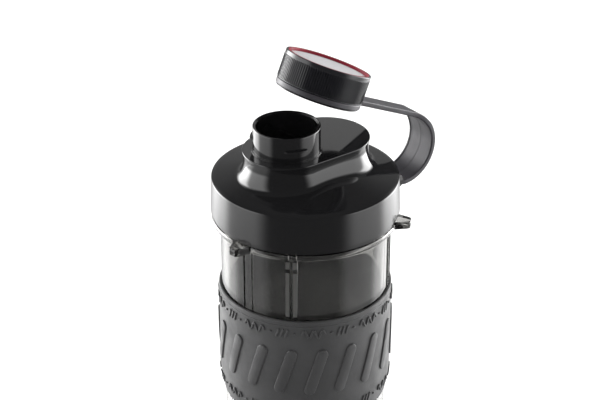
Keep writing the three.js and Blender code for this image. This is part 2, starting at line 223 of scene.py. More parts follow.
def noise(material, scale, detail=3.0, roughness=0.5, stretch=(1, 1, 1)):
    """Noise over the object's coordinates, scale being cells to the metre."""
    node = add_node(material, "ShaderNodeTexNoise")
    node.inputs["Scale"].default_value = scale
    node.inputs["Detail"].default_value = detail
    node.inputs["Roughness"].default_value = roughness
    material.node_tree.links.new(coordinates(material, stretch), node.inputs["Vector"])
    return node.outputs["Fac"]


def shader_input(material, socket):
    """A socket of the material's Principled shader."""
    return material.node_tree.nodes["Principled BSDF"].inputs[socket]


def spread(material, source, low, high, from_low=NOISE_LOW, from_high=NOISE_HIGH):
    """A value that runs from low to high while its source runs from from_low to from_high."""
    node = add_node(material, "ShaderNodeMapRange")
    node.inputs["From Min"].default_value = from_low
    node.inputs["From Max"].default_value = from_high
    node.inputs["To Min"].default_value = low
    node.inputs["To Max"].default_value = high
    material.node_tree.links.new(source, node.inputs["Value"])
    return node.outputs["Result"]


def tint(material, source, low, high):
    """Base colour that runs from low to high with a noise."""
    ramp = add_node(material, "ShaderNodeValToRGB")
    for stop, position, color in zip(ramp.color_ramp.elements, (NOISE_LOW, NOISE_HIGH), (low, high)):
        stop.position = position
        stop.color = (*color, 1)
    material.node_tree.links.new(source, ramp.inputs["Fac"])
    material.node_tree.links.new(ramp.outputs["Color"], shader_input(material, "Base Color"))


def rough(material, source, low, high):
    """Roughness that runs from low to high with a noise."""
    links = material.node_tree.links
    links.new(spread(material, source, low, high), shader_input(material, "Roughness"))


def bump(material, source, depth_mm, previous=None):
    """Relief of a depth in millimetres, over a previous one if there is one."""
    node = add_node(material, "ShaderNodeBump")
    node.inputs["Distance"].default_value = depth_mm * MM
    node.inputs["Strength"].default_value = 1.0
    links = material.node_tree.links
    links.new(source, node.inputs["Height"])
    if previous:
        links.new(previous, node.inputs["Normal"])
    links.new(node.outputs["Normal"], shader_input(material, "Normal"))
    return node.outputs["Normal"]


def gloss_black_material():
    """Black moulding, polished on top and satin on the skirt, with a faint unevenness in its gloss."""
    material = new_material("gloss_black", (0.0075, 0.0075, 0.008), 0.08, Specular_IOR_Level=0.5)
    links = material.node_tree.links
    split = add_node(material, "ShaderNodeSeparateXYZ")
    links.new(coordinates(material), split.inputs["Vector"])
    satin_end, polish_start = (SHOULDER_Z - 2) * MM, (SHOULDER_Z - 0.6) * MM
    satin = spread(material, split.outputs["Z"], 0.1, 0.0, satin_end, polish_start)
    total = add_node(material, "ShaderNodeMath", operation="ADD")
    links.new(satin, total.inputs[0])
    links.new(spread(material, noise(material, 90, 4, 0.6), 0.05, 0.1), total.inputs[1])
    links.new(total.outputs["Value"], shader_input(material, "Roughness"))
    bump(material, noise(material, 60, 1), 0.004)
    return material


def smoke_material():
    """Smoke-tinted clear copolyester."""
    material = new_material(
        "smoke_clear", (0.4, 0.397, 0.385), 0.02, Transmission_Weight=1.0, IOR=1.5
    )
    rough(material, noise(material, 140, 3), 0.01, 0.03)
    bump(material, noise(material, 45, 1), 0.006)
    return material


def frosted_material():
    """The same plastic where the mould is etched: it scatters light and looks paler."""
    material = new_material(
        "smoke_frosted", (0.085, 0.084, 0.08), 0.45, Transmission_Weight=0.2, IOR=1.45
    )
    rough(material, noise(material, 400, 3), 0.34, 0.48)
    bump(material, noise(material, 1200, 3), 0.02)
    return material


def silicone_material():
    """Matt grey silicone with a fine moulded grain."""
    material = new_material(
        "grip_silicone", (0.036, 0.036, 0.037), 0.6, Sheen_Weight=0.05, Sheen_Roughness=0.5
    )
    tint(material, noise(material, 55, 4), (0.031, 0.031, 0.032), (0.042, 0.042, 0.043))
    rough(material, noise(material, 160, 3), 0.5, 0.68)
    first = bump(material, noise(material, 900, 4), 0.05)
    bump(material, noise(material, 2600, 2), 0.02, first)
    return material


def strap_material():
    """Satin rubber with fine marks drawn along the strap."""
    material = new_material("strap_rubber", (0.028, 0.026, 0.03), 0.44, Specular_IOR_Level=0.42)
    tint(material, noise(material, 90, 4), (0.022, 0.0205, 0.025), (0.036, 0.034, 0.04))
    rough(material, noise(material, 240, 3, 0.6, (0.25, 4, 0.25)), 0.32, 0.5)
    first = bump(material, noise(material, 260, 3, 0.6, (0.15, 5, 0.15)), 0.05)
    bump(material, noise(material, 1500, 3), 0.02, first)
    return material


def cap_material():
    """Satin charcoal plastic."""
    material = new_material("cap_plastic", (0.009, 0.009, 0.011), 0.2)
    rough(material, noise(material, 200, 4), 0.13, 0.24)
    bump(material, noise(material, 1100, 3), 0.015)
    return material


def disc_material():
    """Satin silver-grey insert with a fine grain."""
    material = new_material("silver_disc", (0.42, 0.42, 0.43), 0.5, Metallic=0.1)
    rough(material, noise(material, 500, 3), 0.38, 0.55)
    bump(material, noise(material, 900, 2), 0.01)
    return material


def red_material():
    """Dark red satin ring."""
    material = new_material("red_trim", (0.2, 0.006, 0.018), 0.42, Specular_IOR_Level=0.3)
    tint(material, noise(material, 150, 3), (0.17, 0.005, 0.015), (0.23, 0.008, 0.022))
    bump(material, noise(material, 700, 2), 0.008)
    return material


def seal_material():
    """Dark grey silicone of the gasket and the cap's liner."""
    material = new_material("seal_silicone", (0.05, 0.05, 0.052), 0.5, Sheen_Weight=0.05)
    tint(material, noise(material, 120, 3), (0.042, 0.042, 0.044), (0.058, 0.058, 0.06))
    bump(material, noise(material, 900, 3), 0.02)
    return material


def steel_material():
    """Ground steel of the strap's pin."""
    material = new_material("steel", (0.56, 0.56, 0.57), 0.28, Metallic=1.0, Anisotropic=0.4)
    rough(material, noise(material, 900, 3, 0.6, (1, 0.1, 1)), 0.2, 0.36)
    bump(material, noise(material, 2200, 2, 0.5, (1, 0.06, 1)), 0.01)
    return material


def screen_material():
    """Dark moulded plastic of the mixing screen."""
    material = new_material("screen_plastic", (0.022, 0.022, 0.024), 0.3)
    rough(material, noise(material, 220, 3), 0.25, 0.42)
    bump(material, noise(material, 800, 3), 0.02)
    return material


MATERIALS = {
    "smoke_clear": smoke_material(),
    "grip_silicone": silicone_material(),
    "gloss_black": gloss_black_material(),
    "seal_silicone": seal_material(),
    "screen_plastic": screen_material(),
    "steel": steel_material(),
    "strap_rubber": strap_material(),
    "cap_plastic": cap_material(),
    "silver_disc": disc_material(),
    "red_trim": red_material(),
}


def dressed(obj, body, slot, *nodes):
    """Dresses a piece in the material that has its slot's name."""
    return dress(obj, body, MATERIALS[slot], slot, *nodes)


# ---- jar ----
def angle_gap(a, b):
    """Degrees from a to b, the short way, without sign."""
    return abs((a - b + 180) % 360 - 180)


def share_on(angle, middles, half, edge):
    """1 on the ribs or fins that stand at these angles, 0 between them, with slightly rounded edges."""
    gap = min(radians(angle_gap(angle, middle)) * JAR_R for middle in middles)
    return 1 - ease((gap - half + edge / 2) / edge)


def lug_reach(angle):
    """Radius of a base lug's outline at an angle, or 0 outside the lugs."""
    root_r, root_half, tip_r, tip_half, corner = 42.0, 4.8, 49.6, 2.1, 0.35
    gap = min(radians(angle_gap(angle, lug)) for lug in LUG_ANGLES)
    lean = (root_half - tip_half) / (tip_r - root_r)
    side = (root_half + lean * root_r) / (tan(gap) + lean) / cos(gap) if gap < 0.3 else 0
    if side < root_r:
        return 0.0
    tip = tip_r / cos(gap)
    return min(side, tip) - corner * max(0.0, 1 - abs(side - tip) / 1.2)


def jar_angles():
    """Sampling angles: even, with extra ones at each edge of a rib or fin and over each lug."""
    angles = {round(360 * i / FINE, 4) for i in range(FINE)}
    edges = []
    for middles, half in ((RIBS, RIB_HALF), (FINS, FIN_HALF)):
        edges += [middle + side * degrees(half / JAR_R) for middle in middles for side in (-1, 1)]
    angles |= {round((edge + 0.06 * k) % 360, 4) for edge in edges for k in range(-4, 5)}
    angles |= {round((lug + 0.35 * k) % 360, 4) for lug in LUG_ANGLES for k in range(-19, 20)}
    return sorted(angles)


def thread_rise(angle, z):
    """How far the jar's three-start thread stands out of the neck."""
    sweep, proud, half = 100, 1.5, 0.35
    rise = 0.0
    for start in THREAD_STARTS:
        turn = (angle - start) % 360
        if turn > sweep:
            continue
        middle = THREAD_Z + THREAD_LEAD * turn / 360
        end = ease(min(turn, sweep - turn) / 5)
        rise = max(rise, proud * end * (1 - ease((abs(z - middle) - half) / 0.5)))
    return rise


def sleeve_seat(z):
    """Radius of the jar's wall under the sleeve, where it narrows towards the foot."""
    run, narrowing = 57.0, 1.1
    share = max(0.0, (SLEEVE_HIGH - z) / run)
    return JAR_R - 0.05 - narrowing * share ** 1.3


def flange_line(rib, lug):
    """The flange at an angle as (r, z) points going up, with a base lug in its place where lug is not 0."""
    low, high, reach = FLANGE_LOW, FLANGE_HIGH, FLANGE_R + 0.5 * rib
    if lug:
        low, high, reach = LUG_LOW, LUG_HIGH, lug
    return [
        (JAR_R + 0.9, low - 0.05), (JAR_R + 1.2, low), (reach - 0.8, low), (reach - 0.5, low + 0.02),
        (reach - 0.12, low + 0.18), (reach, low + 0.5), (reach, (low + high) / 2), (reach, high - 0.5),
        (reach - 0.12, high - 0.18), (reach - 0.5, high - 0.02), (reach - 0.8, high),
        (NECK_R + 0.6, high), (NECK_R + 0.15, high + 0.12), (NECK_R, high + 0.5),
    ]


def neck_line(angle):
    """The threaded neck at an angle, from over the flange to under the rim."""
    low, high, rows = 153.6, NECK_TOP - 1.2, 34
    heights = [low + (high - low) * k / (rows - 1) for k in range(rows)]
    return [(NECK_R + thread_rise(angle, z), z) for z in heights]


def jar_profile(angle):
    """The jar's section at an angle, from the middle of the foot out, up, over the rim and down inside."""
    rib = share_on(angle, RIBS, RIB_HALF, 0.3)
    fin = share_on(angle, FINS, FIN_HALF, 0.25)
    out = JAR_R + 0.9 * rib + 0.5 * fin * (1 - rib)
    foot = [
        (AXIS_R, 1.6, 0), (26, 1.6, 3), (29, 0, 1.2), (33.6, 0, 1.4), (37.2, 3.6, 5),
        (38.95, SLEEVE_LOW - 0.6, 0.3), (sleeve_seat(SLEEVE_LOW), SLEEVE_LOW, 0.2),
        (sleeve_seat(100), 100, 20), (sleeve_seat(116), 116, 0),
    ]
    line = rounded(foot, 6)
    line += [(JAR_R, 117.0), (out, 117.4)]
    line += [(out, 118 + 3.5 * k) for k in range(9)]
    line += [(out + 0.02, 147), (out + 0.3 * (1 - rib), 149.0)]
    line += flange_line(rib, lug_reach(angle))
    line += neck_line(angle)
    inside = [
        (NECK_R, NECK_TOP - 1.0, 0), (NECK_R, NECK_TOP, 0.6), (NECK_BORE_R, NECK_TOP, 0.6),
        (NECK_BORE_R, 152.5, 1.5), (37.0, 147.5, 4), (36.0, 59, 20), (35.1, 14, 10),
        (31, 6, 7), (AXIS_R, 6.3, 0),
    ]
    return line + rounded(inside, 7)


def make_jar():
    """The jar: its sections at all the sampling angles, joined round."""
    angles = jar_angles()
    rings = []
    for row in zip(*[jar_profile(a) for a in angles]):
        rings.append([(r * cos(radians(a)), r * sin(radians(a)), z) for (r, z), a in zip(row, angles)])
    return dressed(skin("jar_body", rings, sharp=40), "bottle", "smoke_clear", "jar")


def rib_pad(middle, low, high):
    """A thin pad on the rib at an angle, its back sunk into the rib."""
    half, across, ease_in = degrees(0.85 / JAR_R), 5, 0.15
    spots = [middle - half + 2 * half * i / across for i in range(across + 1)]
    back = [(JAR_R + 0.7, a) for a in reversed(spots)]
    side = ((low, 0.75), (low, 0.93), (low + ease_in, 0.97))
    side += ((high - ease_in, 0.97), (high, 0.93), (high, 0.75))
    rings = []
    for z, proud in side:
        front = [(JAR_R + proud, a) for a in spots]
        rings.append([(r * cos(radians(a)), r * sin(radians(a)), z) for r, a in front + back])
    return skin("pad", rings, sharp=40)


def make_rib_faces():
    """Frosted faces on the jar's broad ribs, two to a rib with a gap between them near its top."""
    spans = ((119.0, 141.8), (143.9, 147.4))
    pads = [rib_pad(middle, low, high) for middle in RIBS for low, high in spans]
    return dress(join("rib_faces", *pads), "bottle", frosted_material(), "smoke_clear")


# ---- sleeve ----
def sleeve_radius(z):
    """Outer radius of the sleeve at a height: straight above, drawn in towards its lower rim."""
    run, draw = 16.0, 1.75
    share = max(0.0, (SLEEVE_LOW + run - z) / run)
    return SLEEVE_R - draw * share ** 2.6


def make_sleeve_wall():
    """The plain sleeve: its lower rim, its outside with a fine groove near the top, and its bore."""
    steps, gap, groove_r = 14, 0.06, SLEEVE_R - 0.22
    heights = [SLEEVE_LOW + 1 + 15 * k / steps for k in range(steps + 1)]
    outer = [(sleeve_radius(z), z, 0) for z in heights]
    top = [
        (SLEEVE_R, 113.4, 0), (SLEEVE_R, 113.9, 0.2), (groove_r, 114.1, 0.1), (groove_r, 114.3, 0.1),
        (SLEEVE_R, 114.5, 0.2), (SLEEVE_R, SLEEVE_HIGH, 1.1), (JAR_R + 0.1, SLEEVE_HIGH, 0.25),
        (JAR_R + gap, 116.0, 0),
    ]
    bore = [(sleeve_seat(z) + gap, z, 0) for z in (110, 100, 90, 80, 70)]
    seat = sleeve_seat(SLEEVE_LOW) + gap
    rim = [(seat, SLEEVE_LOW + 0.6, 0), (seat, SLEEVE_LOW, 0.1), (outer[0][0], SLEEVE_LOW, 0.5)]
    return turned("sleeve_skin", rounded(rim + outer + top + bore, 5))


def on_sleeve(u, v, height):
    """A point on the sleeve: u mm round it, v its height, and how far it stands out."""
    angle = u / SLEEVE_R
    r = sleeve_radius(v) + height
    return (r * cos(angle), r * sin(angle), v)


def stroke(path, half, proud):
    """Rings of a raised rounded stroke along a path of (u, v) points on the sleeve."""
    sections = []
    start, end = Vector(path[0]), Vector(path[-1])
    first = (start - Vector(path[1])).normalized()
    last = (end - Vector(path[-2])).normalized()
    turns = [pi / 2 * k / 5 for k in range(1, 6)]
    for a in reversed(turns):
        sections.append((start + first * half * sin(a), -first, max(half * cos(a), 0.02)))
    for k, point in enumerate(path):
        before = Vector(path[max(k - 1, 0)])
        after = Vector(path[min(k + 1, len(path) - 1)])
        sections.append((Vector(point), (after - before).normalized(), half))
    for a in turns:
        sections.append((end + last * half * sin(a), last, max(half * cos(a), 0.02)))
    edge = min(0.35, half * 0.45)
    rings = []
    for middle, along, wide in sections:
        across = Vector((-along.y, along.x))
        inner = max(wide - edge, 0.01)
        lay = [
            (-wide, -0.5), (-wide, proud - edge), (-(wide + inner) / 2, proud - edge * 0.25),
            (-inner, proud), (0, proud), (inner, proud), ((wide + inner) / 2, proud - edge * 0.25),
            (wide, proud - edge), (wide, -0.5),
        ]
        rings.append([on_sleeve(*(middle + across * s), h) for s, h in lay])
    return rings


def straight(u0, v0, u1, v1, steps=8):
    """A straight path of (u, v) points."""
    return [(u0 + (u1 - u0) * k / steps, v0 + (v1 - v0) * k / steps) for k in range(steps + 1)]


def wave(u0, v0, length, height, turns):
    """A wavy path of (u, v) points round the level v0."""
    steps = 36
    return [
        (u0 + length * k / steps, v0 + height * sin(2 * pi * turns * k / steps)) for k in range(steps + 1)
    ]


def pattern_bars():
    """Large leaning bars round the sleeve's middle."""
    count, low, high, lean = 18, 79.8, 98.8, 2.9
    bars = []
    for k in range(count):
        u = 2 * pi * SLEEVE_R * k / count
        bars.append(stroke(straight(u - lean, low, u + lean, high), 2.6, 0.75))
    return bars


def pattern_row(row, shift):
    """Small marks round the sleeve at a height: in each group a wave, a dot, three dashes and a dot."""
    groups, half, proud = 9, 0.5, 0.6
    marks = []
    for k in range(groups):
        u = 2 * pi * SLEEVE_R * (k + shift) / groups
        marks.append(stroke(wave(u - 6.5, row, 10.5, 1.9, 2.5), 0.45, 0.75))
        marks.append(stroke(straight(u + 7.0, row, u + 7.3, row, 1), half, proud))
        for dash in range(3):
            middle = u + 10.6 + 2.1 * dash
            path = straight(middle - 0.5, row - 1.7, middle + 0.5, row + 1.7, 2)
            marks.append(stroke(path, half, proud))
        marks.append(stroke(straight(u + 18.2, row, u + 18.5, row, 1), half, proud))
    return marks


def make_sleeve():
    """The sleeve and its raised pattern: large leaning bars between two rows of small marks."""
    points, faces = [], []
    for rings in pattern_bars() + pattern_row(110.2, 0.0) + pattern_row(67.2, 0.5):
        faces += tube_faces(len(rings[0]), len(rings), base=len(points))
        points += [p for ring in rings for p in ring]
    pattern = new_object("sleeve_pattern", points, faces, 40)
    sleeve = join("sleeve_skin", make_sleeve_wall(), pattern)
    return dressed(sleeve, "bottle", "grip_silicone", "sleeve")


# ---- lid ----
ARC, SIDE = 72, 12  # points round each end of the deck's outline, and along each straight side


def cone_height(x, y):
    """Height of the cone's face over the shoulder."""
    return CONE_SLOPE * (CONE_R - hypot(x, y))


def deck_outline(grow, height):
    """The raised deck's outline, grown, with height(x, y) giving each point's height over the shoulder."""
    r = DECK_R + grow
    flat = []
    for middle, far, side in ((DECK_BACK_X, SPOUT_X, 1), (SPOUT_X, DECK_BACK_X, -1)):
        angles = [radians(180 * i / ARC - 90 * side) for i in range(ARC)]
        flat += [(middle + r * cos(a), r * sin(a)) for a in angles]
        flat += [(middle + (far - middle) * i / SIDE, side * r) for i in range(SIDE)]
    return [(x, y, SHOULDER_Z + height(x, y)) for x, y in flat]


def deck_rays(middle):
    """Directions from a point of the deck's long axis to the points of its outline."""
    return [Vector((x - middle, y)).normalized() for x, y, _ in deck_outline(0, lambda x, y: 0)]


def lid_circle(r, z):
    """A ring round the lid's axis, matched to the deck outline's points as seen from the deck's middle."""
    middle = (SPOUT_X + DECK_BACK_X) / 2
    ring = []
    for ray in deck_rays(middle):
        half = middle * ray.x
        far = -half + sqrt(half * half - middle * middle + r * r)
        ring.append((middle + far * ray.x, far * ray.y, SHOULDER_Z + z))
    return ring


def spout_circle(r, z):
    """A ring round the spout's axis, matched to the deck outline's points as seen from that axis."""
    return [(SPOUT_X + r * ray.x, r * ray.y, SHOULDER_Z + z) for ray in deck_rays(SPOUT_X)]


def blend_ring(a, b, share):
    """The ring that lies a share of the way from one ring to another."""
    return [tuple(p + (q - p) * share for p, q in zip(u, v)) for u, v in zip(a, b)]


def skirt_rings():
    """The skirt's outside, from the middle of its lower rim up to the start of the cone."""
    lip_r, edge = 43.2, -17.0
    corners = [
        (42.4, SKIRT_LOW, 0), (lip_r, SKIRT_LOW, 0.25), (lip_r, edge, 0.1), (SKIRT_R, edge, 0.25),
        (43.35, -0.5, 0.4), (41.4, cone_height(41.4, 0), 0),
    ]
    return [lid_circle(r, z) for r, z in rounded(corners, 5, 0.5)]


def cone_rings(inner):
    """The cone, from the skirt in to the foot of the deck's wall."""
    outer = lid_circle(41.0, 0)
    rings = []
    for share in (0.0, 0.25, 0.5, 0.75, 0.9):
        ring = blend_ring(outer, inner, share)
        rings.append([(x, y, SHOULDER_Z + cone_height(x, y)) for x, y, _ in ring])
    return rings


def deck_wall():
    """Rings from the fillet on the cone up the waisted wall to the deck's edge."""
    shape = [  # how far the outline grows, and the share of the way from the cone up to the deck
        (3.6, -0.004), (3.0, 0.0), (2.4, 0.012), (1.85, 0.035), (1.35, 0.07), (0.9, 0.115), (0.5, 0.175),
        (0.15, 0.25), (-0.15, 0.34), (-0.4, 0.45), (-0.52, 0.56), (-0.52, 0.67), (-0.4, 0.78),
        (-0.2, 0.88), (-0.03, 0.945), (0.0, 0.975), (-0.02, 0.988), (-0.08, 0.997), (-0.2, 1.0), (-0.5, 1.0),
    ]
    rings = []
    for grow, share in shape:
        rings.append(deck_outline(grow, lambda x, y: cone_height(x, y) * (1 - share) + DECK_Z * share))
    return rings


def spout_rings():
    """The spout: its step on the deck, its wall, its lip, and its bore down to the lid's inside."""
    top, foot_r, foot_top, lip_r = SPOUT_H + DECK_Z, 16.2, DECK_Z + 0.5, SPOUT_R - 0.75
    corners = [
        (16.9, DECK_Z, 0), (foot_r, DECK_Z, 0.06), (foot_r, foot_top, 0.1), (SPOUT_R, foot_top, 0.1),
        (SPOUT_R, top, 0.45), (lip_r, top, 0.15), (lip_r, top - 0.5, 0.1), (SPOUT_BORE_R, top - 0.5, 0.2),
        (SPOUT_BORE_R, 12.2, 0.6), (14.6, 12.2, 0),
    ]
    return [spout_circle(r, z) for r, z in rounded(corners, 5, 0.2)]


def inside_rings():
    """The lid's inside: the deck's ceiling and hollow, the cone's underside and the skirt's bore."""
    ceiling = deck_outline(-3, lambda x, y: 13.2)
    rings = [blend_ring(spout_circle(14.6, 12.6), ceiling, 0.5), ceiling]
    for grow, z in ((-2.6, 12.6), (-2.5, 9.5)):
        rings.append(deck_outline(grow, lambda x, y: z))
    rings.append(deck_outline(-1.2, lambda x, y: cone_height(x, y) - CONE_WALL))
    seat_r, seat_z = 36.2, -2.1
    corners = [
        (37.5, cone_height(37.5, 0) - CONE_WALL, 0), (seat_r, cone_height(seat_r, 0) - CONE_WALL, 0.3),
        (seat_r, seat_z, 0.3), (SKIRT_BORE_R, seat_z, 0.8), (SKIRT_BORE_R, SKIRT_LOW, 0.3),
        (42.4, SKIRT_LOW, 0),
    ]
    return rings + [lid_circle(r, z) for r, z in rounded(corners, 4, 0.3)[1:]]


def make_lid_shell():
    """One closed skin: skirt, cone, deck and spout, then the bore and the inside, back to the skirt."""
    wall = deck_wall()
    deck = blend_ring(wall[-1], spout_circle(16.9, DECK_Z), 0.5)
    rings = skirt_rings() + cone_rings(wall[0]) + wall + [deck] + spout_rings() + inside_rings()
    return skin("lid_cover", rings, closed=True, sharp=36)


def arc_ridge(wall_r, reach_r, start, sweep, z, height, rise, x=0.0):
    """A ridge round a wall, level or climbing by rise over its sweep, with tapered ends."""
    steps = 28
    rings = []
    for k in range(steps + 1):
        share = k / steps
        angle = radians(start + sweep * share)
        end = ease(min(share, 1 - share) * steps / 2.5)
        reach = wall_r + (reach_r - wall_r) * max(end, 0.02)
        sunk = wall_r - 0.5 if reach_r > wall_r else wall_r + 0.5
        middle = z + rise * share
        chamfer = height * 0.22
        lay = [
            (sunk, -height / 2), (reach, -height / 2 + chamfer), (reach, height / 2 - chamfer),
            (sunk, height / 2),
        ]
        rings.append([(x + r * cos(angle), r * sin(angle), middle + dz) for r, dz in lay])
    return skin("ridge", rings, sharp=30)


def extruded(name, outline, low, high):
    """A plate from low to high along Y whose (x, z) outline has eased edges."""
    edge, count = 0.4, len(outline)
    middle = Vector((sum(x for x, _ in outline) / count, sum(z for _, z in outline) / count))
    share = edge / max(hypot(x - middle.x, z - middle.y) for x, z in outline)
    layers = ((low, share), (low + edge * 0.3, share * 0.3), (low + edge, 0))
    layers += ((high - edge, 0), (high - edge * 0.3, share * 0.3), (high, share))
    rings = []
    for y, inset in layers:
        rings.append([
            (middle.x + (x - middle.x) * (1 - inset), y, middle.y + (z - middle.y) * (1 - inset))
            for x, z in outline
        ])
    return skin(name, rings, sharp=50)


def ear(side):
    """One of the two ears on the skirt's rear that hold the pin."""
    r, root, inner, outer = 3.4, 43.0, EYE_HALF + 0.3, 9.8
    turns = [radians(a) for a in range(-90, 91, 10)]
    outline = [(root, PIN_Z + r), (root, PIN_Z - r)]
    outline += [(PIN_X + r * cos(a), PIN_Z + r * sin(a)) for a in turns]
    low, high = sorted((side * inner, side * outer))
    return extruded("ear", outline, low, high)


def make_lid():
    """The lid: its shell and ears, the spout's three locking lugs and the skirt's inner thread."""
    pieces = [make_lid_shell(), ear(1), ear(-1)]
    for middle in (10, 130, 250):
        pieces.append(arc_ridge(SPOUT_R, 16.75, middle - 20, 40, SHOULDER_Z + 21.2, 1.6, 0, SPOUT_X))
    first, sweep, ridge_r = 50, 40, 39.9
    low = THREAD_Z - 2 + THREAD_LEAD * first / 360
    rise = THREAD_LEAD * sweep / 360
    for start in THREAD_STARTS:
        pieces.append(arc_ridge(SKIRT_BORE_R, ridge_r, start + first, sweep, low, 1.3, rise))
    return dressed(join("lid_cover", *pieces), "lid", "gloss_black", "lid_shell")


def make_gasket():
    """The flat ring between the lid and the jar's rim."""
    bore_r, r, high = 36.9, 38.9, SHOULDER_Z - 2.4
    low = high - 1.4
    corners = [(bore_r, low, 0), (r, low, 0.4), (r, high, 0.4), (bore_r, high, 0.4), (bore_r, low + 0.1, 0)]
    ring = turned("lid_seal_ring", rounded(corners, 4, 0.1))
    return dressed(ring, "lid_seal", "seal_silicone", "lid_gasket")


def make_screen():
    """The mixing screen: a shallow basket whose floor has rings of round holes."""
    rim, rim_r, wall = NECK_TOP + 0.3, 38.9, NECK_BORE_R - 0.5
    low = rim - 9
    floor = low + 1.4
    corners = [
        (31.2, low, 0), (wall, low, 1.2), (wall, rim, 0.2), (rim_r, rim, 0.3), (rim_r, rim + 1, 0.3),
        (wall - 1.2, rim + 1, 0.5), (wall - 1.2, floor, 0.8), (31.2, floor, 0),
    ]
    basket = turned("basket", rounded(corners, 4, 0.2))
    plate = perforated_plate(31.4, low, floor)
    return dressed(join("mixing_basket", basket, plate), "lid_seal", "screen_plastic", "mixing_screen")


def plain_disc(name, radius, low, high, count):
    """A disc from low to high, turned round Z."""
    line = [(AXIS_R, low), (radius, low), (radius, high), (AXIS_R, high)]
    return turned(name, line, count, closed=False)


def perforated_plate(radius, low, high):
    """A round plate with holes, cut by a boolean from plain turned solids."""
    plate = plain_disc("plate", radius, low, high, 96)
    holes = []
    for count, ring_r in ((1, 0.0), (6, 12.0), (12, 25.0)):
        for i in range(count):
            angle = 2 * pi * i / count
            spot = Vector((ring_r * cos(angle), ring_r * sin(angle), 0))
            hole = plain_disc("hole", 4.2, low - 1, high + 1, 40)
            holes.append(place(hole, Matrix.Translation(spot * MM)))
    cutter = join("holes", *holes)
    cut = plate.modifiers.new("holes", "BOOLEAN")
    cut.object = cutter
    cut.operation = "DIFFERENCE"
    bpy.context.view_layer.objects.active = plate
    bpy.ops.object.modifier_apply(modifier=cut.name)
    bpy.data.objects.remove(cutter)
    return plate


def make_pin():
    """The strap's pin, along Y, with rounded ends."""
    r, half = 1.5, 9.6
    line = rounded([(AXIS_R, -half, 0), (r, -half, 0.35), (r, half, 0.35), (AXIS_R, half, 0)], 3, 0.1)
    pin = turned("hinge_pin", line, 48, closed=False)
    return dressed(place(pin, PIN_PLACE), "lid", "steel", "strap_pin")


# ---- cap, made upright and then put in its tilted place ----
CAP_R, CAP_BORE_R = 20.2, 17.6
KNURL_LOW, KNURL_HIGH = 3.6, 14.8
TEETH = 112
TOOTH = (0.0, 0.5, 1.0, 1.0, 1.0, 0.5)  # heights across one tooth, starting in its groove


def knurl_ring(z):
    """The cap's outline at a height: toothed between the knurl's ends, round above and below them."""
    inside = ease((z - KNURL_LOW) / 0.5) * ease((KNURL_HIGH - z) / 0.5)
    count = TEETH * len(TOOTH)
    ring = []
    for i in range(count):
        angle = 2 * pi * i / count
        r = CAP_R - 0.12 * inside + 0.56 * inside * (TOOTH[i % len(TOOTH)] - 0.55)
        ring.append((r * cos(angle), r * sin(angle), z))
    return ring


def make_cap_shell():
    """The cap: a groove for the strap's ring, the knurl, a recess in its top, its bore and inner tabs."""
    count = TEETH * len(TOOTH)
    groove_r, recess_r, recess_z, roof_z = 18.6, 19.3, 13.6, 12.5
    foot = [
        (17.8, 0, 0), (19.5, 0, 0.2), (19.5, 0.55, 0.15), (groove_r, 0.55, 0.1), (groove_r, 3.5, 0.1),
        (20.15, 3.5, 0.2),
    ]
    rings = [circle(r, z, count) for r, z in rounded(foot, 4, 0.1)[:-1]]
    heights = [3.55 + 0.1 * k for k in range(6)]
    heights += [5, 7, 9, 11, 13]
    heights += [14.2 + 0.1 * k for k in range(7)]
    rings += [knurl_ring(z) for z in heights]
    top = [
        (CAP_R, 14.9, 0), (CAP_R, CAP_H, 0.3), (recess_r, CAP_H, 0.1), (recess_r, recess_z, 0.1),
        (AXIS_R, recess_z, 0),
    ]
    rings += [circle(r, z, count) for r, z in rounded(top, 6, 0.1)[1:]]
    bore = [(AXIS_R, roof_z, 0), (CAP_BORE_R, roof_z, 0.5), (CAP_BORE_R, 0, 0.2), (17.8, 0, 0)]
    rings += [circle(r, z, count) for r, z in rounded(bore, 4, 0.2)]
    shell = skin("cap_body", rings, closed=True, sharp=45)
    tabs = [arc_ridge(CAP_BORE_R, 16.1, middle - 20, 40, 1.95, 2.5, 0) for middle in (70, 190, 310)]
    cap = place(join("cap_body", shell, *tabs), CAP_PLACE)
    return dressed(cap, "cap", "cap_plastic", "cap_shell")


def make_disc():
    """The pale disc in the cap's top, slightly domed inside a raised edge."""
    r, low, high = 18.1, 13.9, 15.3
    corners = [
        (AXIS_R, low, 0), (r, low, 0.1), (r, high, 0.2), (17.2, high, 0.3), (16.9, 15.22, 0.3),
        (AXIS_R, 15.35, 0),
    ]
    disc = turned("cap_insert", rounded(corners, 4, 0.2), SMALL, closed=False)
    return dressed(place(disc, CAP_PLACE), "cap", "silver_disc", "cap_disc")


def make_accent_ring():
    """The dark red ring between the disc and the cap's rim."""
    bore_r, r, low, high = 18.15, 19.25, 13.9, CAP_H - 0.02
    corners = [
        (bore_r, 14.5, 0), (bore_r, low, 0), (r, low, 0), (r, high, 0.08), (bore_r, high, 0.15),
        (bore_r, 14.5, 0),
    ]
    accent = turned("cap_trim_ring", rounded(corners, 5, 0.1)[:-1], SMALL)
    return dressed(place(accent, CAP_PLACE), "cap", "red_trim", "cap_accent_ring")


def make_cap_seal():
    """The liner under the cap's roof, with a round lip that enters the spout's bore."""
    r, high, lip_r = 17.2, 12.2, SPOUT_BORE_R - 0.4
    low = high - 1
    tip = high - 3.6
    corners = [
        (AXIS_R, low, 0), (lip_r - 1.6, low, 0.3), (lip_r - 1.4, tip, 0.3), (lip_r - 0.2, tip, 0.3),
        (lip_r, low, 0.2), (r, low, 0.2), (r, high, 0.2), (AXIS_R, high, 0),
    ]
    liner = turned("cap_liner", rounded(corners, 4, 0.1), SMALL, closed=False)
    return dressed(place(liner, CAP_PLACE), "cap", "seal_silicone", "cap_seal")


